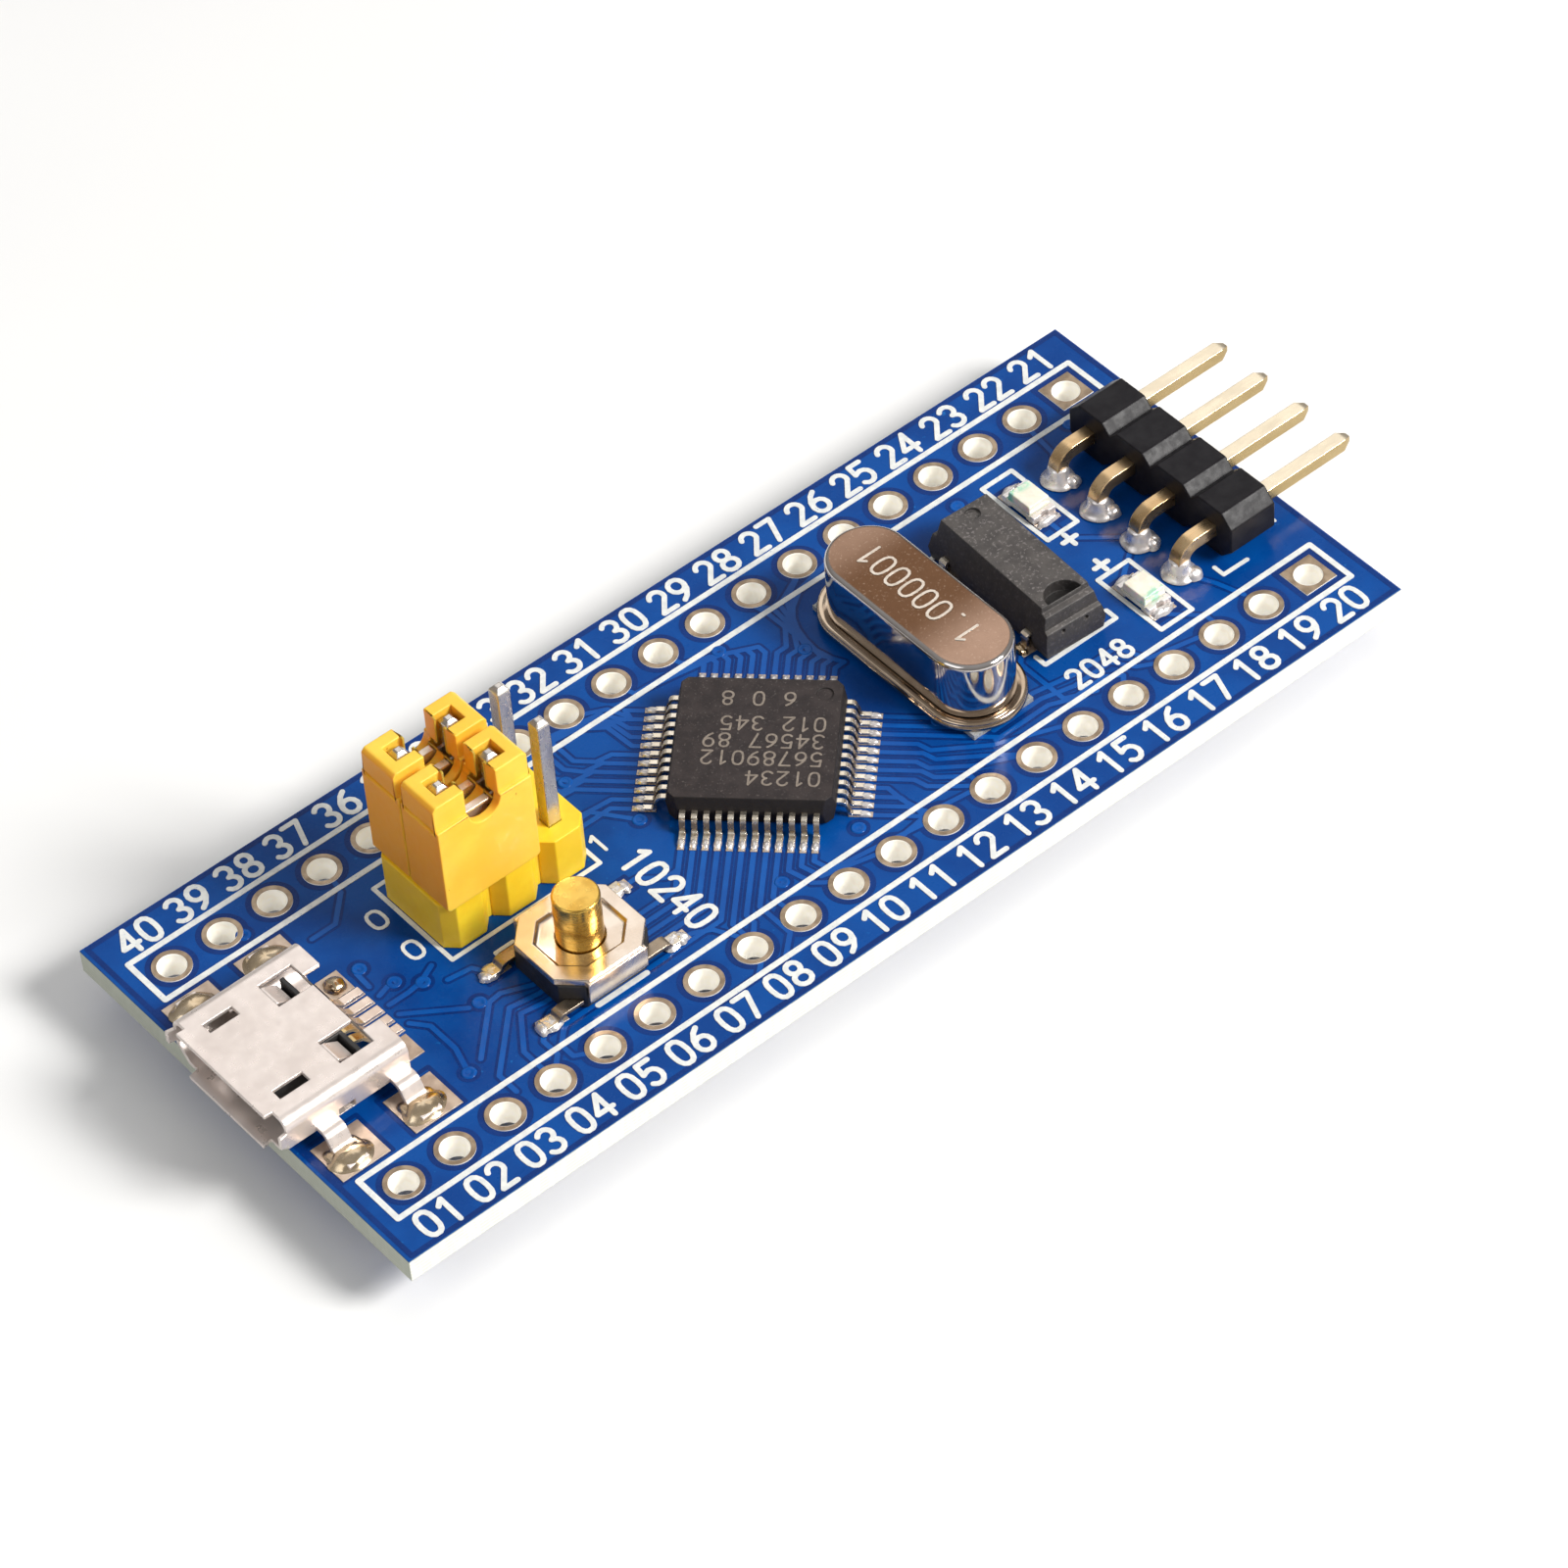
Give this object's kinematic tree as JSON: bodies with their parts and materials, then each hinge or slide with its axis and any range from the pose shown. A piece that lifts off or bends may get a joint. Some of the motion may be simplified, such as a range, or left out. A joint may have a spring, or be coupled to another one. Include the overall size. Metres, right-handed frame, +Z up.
{
  "type": "microcontroller dev board",
  "caption": "Narrow blue circuit board with two rows of header holes, micro-USB socket, controller, crystals, debug header, boot jumpers and reset button.",
  "frame": {"origin": "centre of the grid of header holes, on the top (component) face of the board", "axes": "+X along the board from the USB end to the debug-header end, +Y across the board towards the boot jumpers, +Z up out of the component face"},
  "size_m": [0.0571, 0.0218, 0.0115],
  "materials": {
    "board_laminate": "blue solder mask over glass-fibre laminate",
    "tinned_copper": "tinned copper, satin",
    "shell_steel": "tin-plated steel, satin",
    "black_plastic": "moulded, fine matt",
    "contact_gold": "thin gold plating",
    "epoxy_package": "moulded epoxy, satin",
    "lead_tin": "tin-plated lead frame",
    "can_nickel": "nickel-plated, bright",
    "seal_glass": "clear",
    "spacer_film": "thin milky film",
    "quartz": "lapped",
    "watch_plastic": "moulded epoxy, satin",
    "led_ceramic": "white laminate",
    "led_epoxy": "clear cast epoxy, tinted green at one end",
    "header_black": "moulded, semi-gloss",
    "pin_gold": "gold-flashed brass",
    "header_yellow": "moulded, semi-gloss",
    "pin_tin": "tin-plated brass",
    "cap_orange": "moulded, semi-gloss",
    "clip_tin": "tin-plated spring bronze",
    "switch_black": "moulded, fine matt",
    "cover_steel": "bright stainless sheet",
    "dome_steel": "spring stainless",
    "plunger_brass": "turned brass, satin",
    "capacitor_ceramic": "fired ceramic",
    "resistor_film": "glazed film on ceramic",
    "solder": "bright solder"
  },
  "bodies": {
    "board": {"circuit_board": "board_laminate", "plated_holes": "tinned_copper", "surface_pads": "tinned_copper", "usb_shell": "shell_steel", "usb_insulator": "black_plastic", "usb_contacts": "contact_gold", "mcu_package": "epoxy_package", "mcu_leads": "lead_tin", "crystal_can": "can_nickel", "crystal_base": "can_nickel", "crystal_spacer": "spacer_film", "crystal_glass_seals": "seal_glass", "crystal_leads": "pin_tin", "quartz_blank": "quartz", "watch_crystal_body": "watch_plastic", "watch_crystal_capsule": "can_nickel", "watch_crystal_leads": "lead_tin", "led_power_substrate": "led_ceramic", "led_power_lens": "led_epoxy", "led_user_substrate": "led_ceramic", "led_user_lens": "led_epoxy", "led_terminals": "tinned_copper", "swd_header_housing": "header_black", "swd_header_pins": "pin_gold", "boot_header_base": "header_yellow", "boot_header_pins": "pin_tin", "reset_switch_base": "switch_black", "reset_switch_cover": "cover_steel", "reset_switch_dome": "dome_steel", "reset_switch_terminals": "lead_tin", "regulator_body": "epoxy_package", "regulator_leads": "lead_tin", "chip_capacitors": "capacitor_ceramic", "chip_resistors": "resistor_film", "chip_end_caps": "pin_tin", "solder_joints": "solder"},
    "reset_button": {"reset_switch_plunger": "plunger_brass"},
    "boot_jumper_0": {"jumper_cap_0": "cap_orange", "jumper_clip_0": "clip_tin"},
    "boot_jumper_1": {"jumper_cap_1": "cap_orange", "jumper_clip_1": "clip_tin"}
  },
  "joints": [
    {"name": "reset_press", "type": "slide", "parent": "board", "child": "reset_button", "axis": [0, 0, -1], "range_m": [0, 0.00025], "stiffness_N_per_m": 4000, "deforming": ["reset_switch_dome"]},
    {"name": "jumper_0_lift", "type": "slide", "parent": "board", "child": "boot_jumper_0", "axis": [0, 0, 1], "range_m": [0, 0.007]},
    {"name": "jumper_1_lift", "type": "slide", "parent": "board", "child": "boot_jumper_1", "axis": [0, 0, 1], "range_m": [0, 0.007]}
  ]
}
